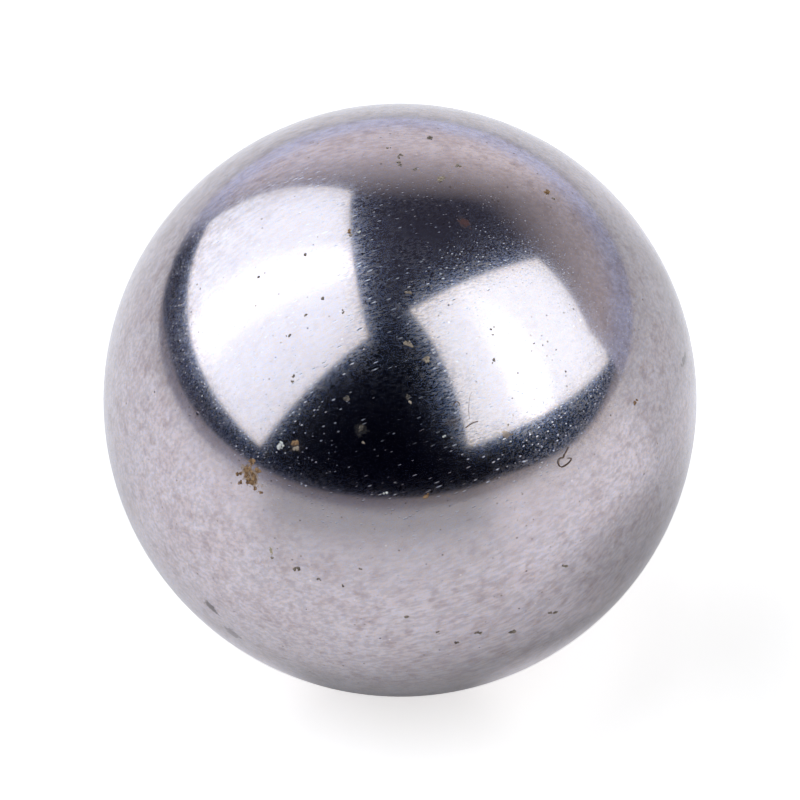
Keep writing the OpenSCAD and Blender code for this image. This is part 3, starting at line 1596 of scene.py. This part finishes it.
@dataclass(frozen=True)
class Paper:
    """The curved paper behind the table, which fades into the dark towards its top.

    It is mirrored in the ball as a round light pool, with a spill of light along its foot: painted light
    in the paper's glow, as are its fade into the dark and the bluish tone along its foot, while the eye
    sees the paper white. The pool is set out in degrees, sideways from its middle and up. Heights are
    shares of the paper's distance.
    """

    ball_radius: float
    dark: Colour
    distance: float = 0.75
    top: float = 1.5
    span: Span = (96.0, 224.0)
    steps: int = 48
    albedo: Colour = (0.01, 0.01, 0.01)
    sine_margin: float = 1.001
    pool_middle: float = 2.0
    pool_size: Span = (35.0, 34.0)
    pool: Ramp = Ramp(0.76, 1.66, 0.97, 0.0, eased=False)
    spill: Ramp = Ramp(0.13, 1.09, 0.56, 0.0)
    left_end: Ramp = Ramp(-45.0, -31.0)
    foot: Ramp = Ramp(0.07, 0.25)
    foot_tone: Colour = (0.82, 0.89, 1.14)
    sideways: Ramp = Ramp(-20.0, 25.0, eased=False)
    left_tone: Colour = (0.96, 0.95, 1.03)
    right_tone: Colour = (1.01, 0.96, 0.97)

    def build(self) -> bpy.types.Object:
        """Make the paper.

        Returns:
            The paper.
        """
        start, end = self.span
        points = []
        for step in range(self.steps + 1):
            x, y, _ = direction(start + (end - start) * step / self.steps, 0.0) * self.distance
            points += [(x, y, -self.ball_radius), (x, y, self.top * self.distance)]
        faces = quads(self.steps + 1, 2, closed=False, flipped=True)
        return stage_piece("paper", points, faces, self._material())

    def _material(self) -> bpy.types.Material:
        """Make the paper's glow.

        Returns:
            The paper's material.
        """
        tree = Glow("back_paper")
        x, _, z = tree.split(tree.place)
        sine = tree.math("DIVIDE", x, self.sine_margin * self.distance)
        turn = tree.math("DEGREES", tree.math("ARCSINE", sine))
        rise = tree.math("DEGREES", tree.math("ARCTAN2", z, self.distance))
        aside = tree.math("DIVIDE", tree.math("SUBTRACT", turn, self.pool_middle), self.pool_size[0])
        reach = tree.hypotenuse(aside, tree.math("DIVIDE", rise, self.pool_size[1]))
        spill, foot = (tree.remap(z, Ramp(ramp.low * self.distance, ramp.high * self.distance,
                                          ramp.at_low, ramp.at_high)) for ramp in (self.spill, self.foot))
        level = tree.product(tree.math("MAXIMUM", tree.remap(reach, self.pool), spill),
                             tree.remap(turn, self.left_end))
        high = tree.mix(tree.remap(turn, self.sideways), self.left_tone, self.right_tone)
        mirrored = tree.mix(level, self.dark, tree.mix(foot, self.foot_tone, high))
        eye = tree.node("LightPath").outputs["Is Camera Ray"]
        tree.lit_by_eye(self.albedo, tree.mix(eye, mirrored, WHITE), 1.0, 1.0)
        return tree.material


@dataclass(frozen=True)
class Studio:
    """Everything round the ball: the table, the paper, the dark room, the softboxes and the camera."""

    ball_radius: float
    charcoal: Colour = (0.036, 0.035, 0.052)
    black: Colour = (0.0005, 0.0005, 0.004)
    room_back: Ramp = Ramp(-0.55, 0.35)
    camera_elevation: float = 40.5
    camera_roll: float = -2.75
    lens: float = 300.0
    ball_width_in_view: float = 0.742
    clip: Span = (0.01, 10.0)

    def build(self) -> None:
        """Make everything that isn't the ball."""
        Table(self.ball_radius).build()
        Paper(self.ball_radius, self.charcoal).build()
        self._room()
        self._camera()
        for box in SOFT_BOXES:
            box.build()

    def _room(self) -> None:
        """Set the dark room: charcoal above and behind, almost black in front."""
        world = bpy.data.worlds.new("dark_room")
        world.use_nodes = True
        bpy.context.scene.world = world
        tree = Tree(world.node_tree)
        back = tree.remap(tree.split(tree.node("TexCoord").outputs["Generated"])[1], self.room_back)
        colour = tree.mix(back, self.black, self.charcoal)
        tree.fill(world.node_tree.nodes["Background"], {"Color": colour, "Strength": 1.0})

    def _camera(self) -> None:
        """Place the camera above the front of the ball, looking at its centre."""
        data = bpy.data.cameras.new("camera")
        data.lens = self.lens
        data.clip_start, data.clip_end = self.clip
        camera = bpy.data.objects.new("camera", data)
        bpy.context.scene.collection.objects.link(camera)
        bpy.context.scene.camera = camera
        half_angle = math.atan(self.ball_width_in_view * data.sensor_width / 2.0 / self.lens)
        away = Vector(direction(0.0, self.camera_elevation)) * (self.ball_radius / math.sin(half_angle))
        roll = Matrix.Rotation(math.radians(self.camera_roll), 3, "Z")
        camera.matrix_world = Matrix.LocRotScale(away, away.to_track_quat("Z", "Y").to_matrix() @ roll, None)


# ---------------------------------------------------------------- assembly


def finish_piece(piece: bpy.types.Object, material: bpy.types.Material, slot: str) -> None:
    """Dress a piece and make it ride on the ball's body.

    Args:
        piece: the object.
        material: its material.
        slot: the name of the record's material slot, which only the log shows.
    """
    piece.data.materials.append(material)
    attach(piece, BODY)
    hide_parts(NODE)
    LOG.info("%s: %d faces, slot %s", piece.name, len(piece.data.polygons), slot)


def main() -> None:
    """Build the ball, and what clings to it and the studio."""
    logging.basicConfig(level=logging.INFO, format="%(name)s: %(message)s")
    bpy.context.scene.view_settings.view_transform = "Standard"
    low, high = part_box(NODE)
    radius = (high - low).z / 2.0
    effects = Effects()
    ball = WornBall(radius).build()
    finish_piece(ball, SteelFinish(radius).build(effects), "ball_steel")
    for seed, (soil, kind) in enumerate(SOIL_KINDS.items(), FIRST_SOIL_SEED):
        piece = SoilPiece(soil, SOIL_MARKS[soil], radius, kind.far_side_count, seed).build()
        finish_piece(piece, kind.finish.build(effects), kind.slot)
    finish_piece(Lint(FIBRES, radius).build(), LINT_FINISH.build(effects), "lint")
    Studio(radius).build()


if __name__ == "__main__":
    main()
